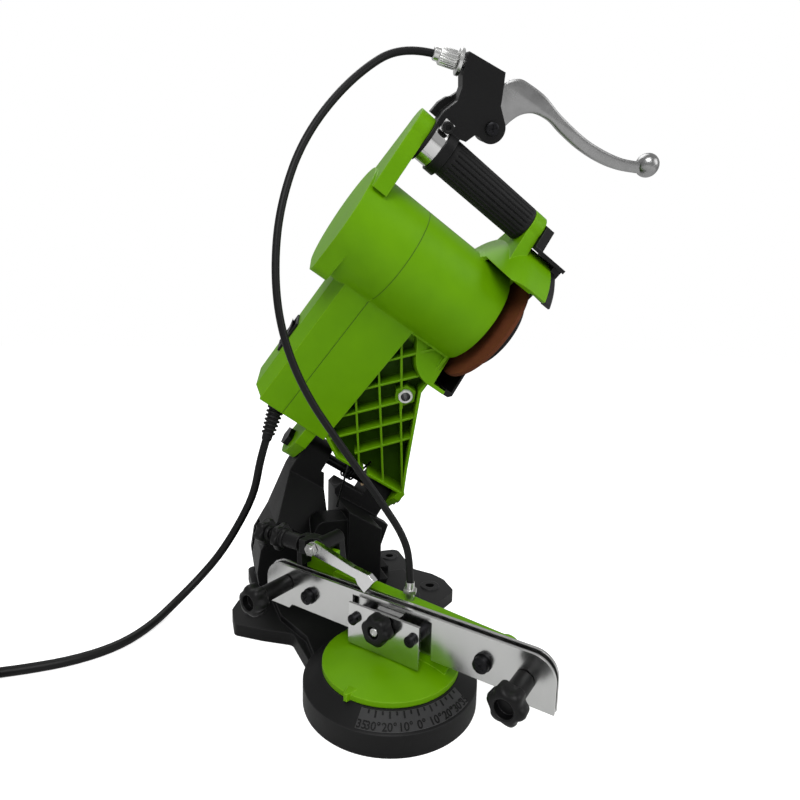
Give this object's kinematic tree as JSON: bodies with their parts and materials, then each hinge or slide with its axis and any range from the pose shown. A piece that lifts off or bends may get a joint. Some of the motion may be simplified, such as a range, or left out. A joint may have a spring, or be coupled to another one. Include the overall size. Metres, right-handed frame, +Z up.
{
  "type": "electric chainsaw sharpener",
  "caption": "Bench saw-chain grinder: tilting head with a thin wheel, a lever-worked chain clamp on a turning vise and a cast base.",
  "frame": {"origin": "on the base's underside, under the turntable's axis", "axes": "+Z up, +Y towards the pivot column at the back, +X to the right as the user faces it"},
  "size_m": [0.5882, 0.3126, 0.4369],
  "materials": {
    "casting": "black textured paint over a casting",
    "steel": "zinc plated",
    "polished_steel": "polished sheet",
    "green_plastic": "satin lime green",
    "black_screws": "black oxide",
    "black_plastic": "satin",
    "black_rubber": "matt",
    "abrasive": "bonded grit",
    "cast_aluminium": "cast and brushed",
    "tube": "black tube"
  },
  "bodies": {
    "base": {"base_plate": "casting", "pivot_column": "casting", "column_screws": "steel", "spindle_stud": "steel", "spindle_nut": "steel", "left_sleeve": "steel", "right_sleeve": "steel", "torsion_spring": "steel", "power_cord": "black_rubber", "cord_coil": "black_rubber", "plug": "black_plastic"},
    "vise": {"vise_body": "green_plastic", "rail_front": "polished_steel", "rail_rear": "polished_steel", "rail_spacers": "steel", "rail_screws": "black_screws", "clamp_bridge": "polished_steel", "bridge_spacers": "steel", "bridge_screws": "black_screws", "rail_nuts": "steel", "cable_ferrule": "steel", "stop_bracket": "black_plastic"},
    "jaw": {"chain_jaw": "polished_steel"},
    "clamp_knob": {"clamp_knob": "black_plastic"},
    "left_rail_knob": {"left_rail_knob": "black_plastic"},
    "right_rail_knob": {"right_rail_knob": "black_plastic"},
    "lock_knob": {"lock_knob": "black_plastic"},
    "stop": {"stop_arm": "black_plastic", "stop_bolt": "polished_steel"},
    "feed": {"feed_screw": "black_plastic"},
    "pawl": {"chain_stop": "polished_steel"},
    "head": {"motor_end_cap": "green_plastic", "motor_housing": "green_plastic", "threaded_insert": "steel", "pivot_pin": "steel", "pivot_nut": "steel", "stator": "steel", "bearings": "steel", "wheel_cover": "black_plastic", "cover_screws": "black_screws", "switch_frame": "black_plastic", "handle_bar": "tube", "grip": "black_rubber", "clamp_band": "steel", "lever_bracket": "black_plastic", "clamp_screw": "black_screws", "lever_pivot": "black_screws", "lock_ring": "steel", "barrel_adjuster": "steel", "brake_cable": "black_rubber", "strain_relief": "black_rubber"},
    "wheel": {"rotor": "steel", "grinding_wheel": "abrasive", "wheel_flange": "steel", "wheel_nut": "steel"},
    "rocker": {"rocker_switch": "black_plastic"},
    "lever": {"brake_lever": "cast_aluminium"}
  },
  "joints": [
    {"name": "head_hinge", "type": "hinge", "parent": "base", "child": "head", "pos_m": [0.02167, 0.1887, 0.10268], "axis": [0.848, 0, -0.5299], "range_deg": [0, 60.4], "stiffness_Nm_per_rad": 3.4, "springref_deg": -51.57, "deforming": ["torsion_spring", "brake_cable", "power_cord"]},
    {"name": "wheel_spin", "type": "hinge", "parent": "head", "child": "wheel", "pos_m": [0.11465, 0.10688, 0.25149], "axis": [0.848, 0, -0.5299], "continuous": true},
    {"name": "lever_pull", "type": "hinge", "parent": "head", "child": "lever", "pos_m": [0.08429, 0.05478, 0.39104], "axis": [0.224, 0.9063, 0.3584], "range_deg": [0, 28], "stiffness_Nm_per_rad": 0.6, "springref_deg": -20.05},
    {"name": "vise_turn", "type": "hinge", "parent": "base", "child": "vise", "pos_m": [0, 0, 0.0225], "axis": [0, 0, 1], "range_deg": [0, 106], "deforming": ["brake_cable"]},
    {"name": "jaw_slide", "type": "slide", "parent": "vise", "child": "jaw", "axis": [0.7986, 0.6018, 0], "range_m": [0, 0.0016]},
    {"name": "clamp_turn", "type": "hinge", "parent": "vise", "child": "clamp_knob", "pos_m": [-0.00958, -0.00722, 0.054], "axis": [-0.7986, -0.6018, 0], "range_deg": [-180, 180]},
    {"name": "left_knob_turn", "type": "hinge", "parent": "vise", "child": "left_rail_knob", "pos_m": [-0.07933, 0.05542, 0.0545], "axis": [-0.7986, -0.6018, 0], "range_deg": [-180, 180]},
    {"name": "right_knob_turn", "type": "hinge", "parent": "vise", "child": "right_rail_knob", "pos_m": [0.03721, -0.09092, 0.05], "axis": [-0.7986, -0.6018, 0], "range_deg": [-180, 180]},
    {"name": "lock_turn", "type": "hinge", "parent": "vise", "child": "lock_knob", "pos_m": [-0.06178, 0.07866, 0.088], "axis": [0.6018, -0.7986, 0], "range_deg": [-180, 180]},
    {"name": "stop_slide", "type": "slide", "parent": "vise", "child": "stop", "axis": [0.6018, -0.7986, 0], "range_m": [0, 0.0053]},
    {"name": "feed_turn", "type": "hinge", "parent": "stop", "child": "feed", "pos_m": [-0.07141, 0.09144, 0.088], "axis": [0.6018, -0.7986, 0], "range_deg": [-180, 180]},
    {"name": "pawl_flip", "type": "hinge", "parent": "stop", "child": "pawl", "pos_m": [-0.03972, 0.05271, 0.088], "axis": [-0.7986, -0.6018, 0], "range_deg": [0, 115]},
    {"name": "switch_rock", "type": "hinge", "parent": "head", "child": "rocker", "pos_m": [-0.03836, 0.16226, 0.23495], "axis": [0.224, 0.9063, 0.3584], "range_deg": [0, 10]}
  ],
  "couplings": [
    {"joint": "jaw_slide", "follows": "lever_pull", "m_per_rad": 0.00327}
  ]
}
